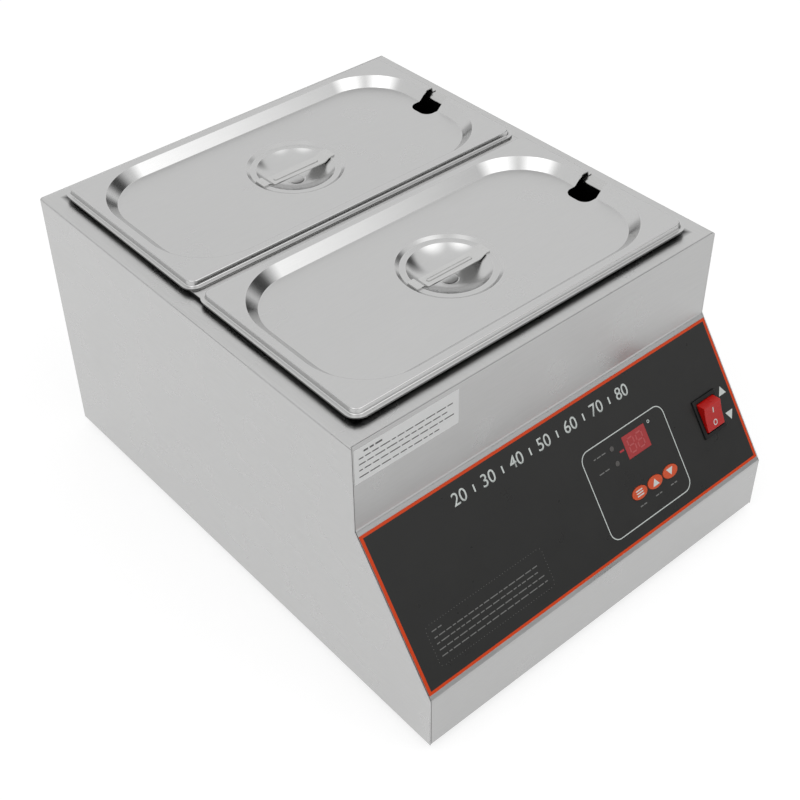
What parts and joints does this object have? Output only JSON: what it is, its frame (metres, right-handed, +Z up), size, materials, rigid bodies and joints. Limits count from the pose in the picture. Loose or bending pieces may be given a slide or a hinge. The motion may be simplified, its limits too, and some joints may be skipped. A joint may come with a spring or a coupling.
{
  "type": "electric chocolate melting pot",
  "caption": "Countertop dry-heat chocolate melter: stainless case, lift-out food pans with notched lids, sloped control panel with keys, display and rocker switch.",
  "frame": {"origin": "centre of the object's bounding box on the plane that the feet stand on", "axes": "+X to the right, -Y the front with the control panel, +Z up"},
  "size_m": [0.3536, 0.478, 0.2465],
  "materials": {
    "satin_steel": "satin, finely brushed",
    "pan_steel": "satin",
    "lid_steel": "satin flats, polished in the pressed walls and bowl",
    "strap_steel": "satin",
    "base_steel": "plain galvanised",
    "foot_rubber": "matt",
    "zinc_steel": "zinc plated",
    "cast_aluminium": "cast, slightly rough",
    "silicone_mat": "matt moulded silicone",
    "fibre_blanket": "soft fibre",
    "cutout_body": "plain",
    "probe_steel": "smooth drawn tube",
    "overlay_print": "fine matt film, printed",
    "red_window": "tinted clear plastic",
    "display_red": "plain",
    "circuit_board": "solder mask",
    "black_plastic": "fine moulded",
    "lamp_lens": "unlit diffused lens",
    "key_orange": "printed, slightly domed",
    "rocker_red": "translucent red, glossy",
    "relay_blue": "moulded",
    "transformer_tape": "taped coil on a laminated core",
    "earth_brass": "turned",
    "sticker_grey": "printed film",
    "mains_wire": "insulated wire",
    "heater_wire": "silicone insulated wire",
    "ribbon_grey": "flat cable"
  },
  "bodies": {
    "case": {"outer_shell": "satin_steel", "front_panel": "satin_steel", "back_panel": "satin_steel", "bottom_plate": "base_steel", "foot_front_left": "foot_rubber", "foot_front_right": "foot_rubber", "foot_rear_left": "foot_rubber", "foot_rear_right": "foot_rubber", "foot_screws": "zinc_steel", "base_screws": "zinc_steel", "back_screws": "zinc_steel", "well_front": "cast_aluminium", "well_rear": "cast_aluminium", "well_nuts": "zinc_steel", "heater_mat_front": "silicone_mat", "heater_mat_rear": "silicone_mat", "insulation_front": "fibre_blanket", "insulation_rear": "fibre_blanket", "insulation_tray_front": "base_steel", "insulation_tray_rear": "base_steel", "tray_bolts": "zinc_steel", "thermal_cutouts": "cutout_body", "temperature_probe": "probe_steel", "probe_clip": "zinc_steel", "panel_overlay": "overlay_print", "display_window": "red_window", "display_module": "display_red", "control_board": "circuit_board", "control_spacers": "zinc_steel", "tact_switches": "black_plastic", "indicator_lamps": "lamp_lens", "switch_housing": "black_plastic", "switch_terminals": "zinc_steel", "power_board": "circuit_board", "board_pillars": "cutout_body", "relay": "relay_blue", "transformer": "transformer_tape", "terminal_block": "cutout_body", "earth_stud": "earth_brass", "cable_gland": "black_plastic", "gland_seal": "foot_rubber", "gland_nut": "black_plastic", "gland_locknut": "black_plastic", "note_sticker": "sticker_grey", "mains_leads": "mains_wire", "heater_leads": "heater_wire", "switch_leads": "mains_wire", "control_ribbon": "ribbon_grey"},
    "front_pan": {"pan_front": "pan_steel"},
    "rear_pan": {"pan_rear": "pan_steel"},
    "front_lid": {"lid_front": "lid_steel", "lid_handle_front": "strap_steel"},
    "rear_lid": {"lid_rear": "lid_steel", "lid_handle_rear": "strap_steel"},
    "rocker": {"switch_rocker": "rocker_red"},
    "set_button": {"set_key": "key_orange"},
    "up_button": {"up_key": "key_orange"},
    "down_button": {"down_key": "key_orange"}
  },
  "joints": [
    {"name": "front_pan_lift", "type": "slide", "parent": "case", "child": "front_pan", "axis": [0, 0, 1], "range_m": [0, 0.13]},
    {"name": "front_lid_lift", "type": "slide", "parent": "front_pan", "child": "front_lid", "axis": [0, 0, 1], "range_m": [0, 0.08]},
    {"name": "rear_pan_lift", "type": "slide", "parent": "case", "child": "rear_pan", "axis": [0, 0, 1], "range_m": [0, 0.13]},
    {"name": "rear_lid_lift", "type": "slide", "parent": "rear_pan", "child": "rear_lid", "axis": [0, 0, 1], "range_m": [0, 0.08]},
    {"name": "rocker_tilt", "type": "hinge", "parent": "case", "child": "rocker", "pos_m": [0.14435, -0.20569, 0.10226], "axis": [-1, 0, 0], "range_deg": [0, 26]},
    {"name": "set_key_press", "type": "slide", "parent": "case", "child": "set_button", "axis": [0, 0.8176, -0.5758], "range_m": [0, 0.0005], "stiffness_N_per_m": 2000},
    {"name": "up_key_press", "type": "slide", "parent": "case", "child": "up_button", "axis": [0, 0.8176, -0.5758], "range_m": [0, 0.0005], "stiffness_N_per_m": 2000},
    {"name": "down_key_press", "type": "slide", "parent": "case", "child": "down_button", "axis": [0, 0.8176, -0.5758], "range_m": [0, 0.0005], "stiffness_N_per_m": 2000}
  ]
}
